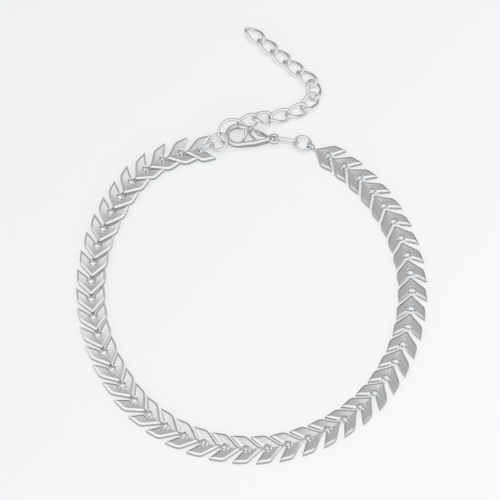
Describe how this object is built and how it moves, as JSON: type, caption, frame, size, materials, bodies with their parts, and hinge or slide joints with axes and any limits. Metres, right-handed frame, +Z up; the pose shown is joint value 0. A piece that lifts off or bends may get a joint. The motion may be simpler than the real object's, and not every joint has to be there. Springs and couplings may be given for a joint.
{
  "type": "chain anklet",
  "caption": "Silver-toned chevron-link chain anklet with a lobster clasp and an adjustable curb-chain extender, lying open in a loop on a surface.",
  "frame": {"origin": "bottom centre of the box of the whole anklet, with its extender, as it lies on a level surface", "axes": "+Z up from the surface; +Y from the loop towards the clasp and the extender's free end; +X to the right"},
  "size_m": [0.078, 0.1144, 0.0058],
  "materials": {
    "chain_silver": "bright silver plate, polished",
    "ring_silver": "bright silver plate on drawn wire",
    "extender_silver": "bright silver plate on twisted wire",
    "clasp_silver": "bright silver plate on a casting"
  },
  "bodies": {
    "anklet": {"chevron_chain": "chain_silver", "large_ring": "ring_silver", "small_ring": "ring_silver", "jump_ring": "ring_silver", "tail_link": "ring_silver", "chain_connector": "ring_silver", "extender_link_11": "extender_silver", "extender_link_10": "extender_silver", "extender_link_9": "extender_silver", "extender_link_8": "extender_silver", "extender_link_7": "extender_silver", "extender_link_6": "extender_silver", "extender_link_5": "extender_silver", "extender_link_4": "extender_silver", "extender_link_3": "extender_silver", "extender_link_2": "extender_silver", "extender_link_1": "extender_silver", "clasp_body": "clasp_silver", "clasp_pin": "clasp_silver"},
    "lever": {"clasp_lever": "clasp_silver"}
  },
  "joints": [
    {"name": "lever_hinge", "type": "hinge", "parent": "anklet", "child": "lever", "pos_m": [0.00178, 0.02576, 0.0015], "axis": [0, 0, 1], "range_deg": [0, 14], "stiffness_Nm_per_rad": 0.002, "springref_deg": -17.19}
  ]
}
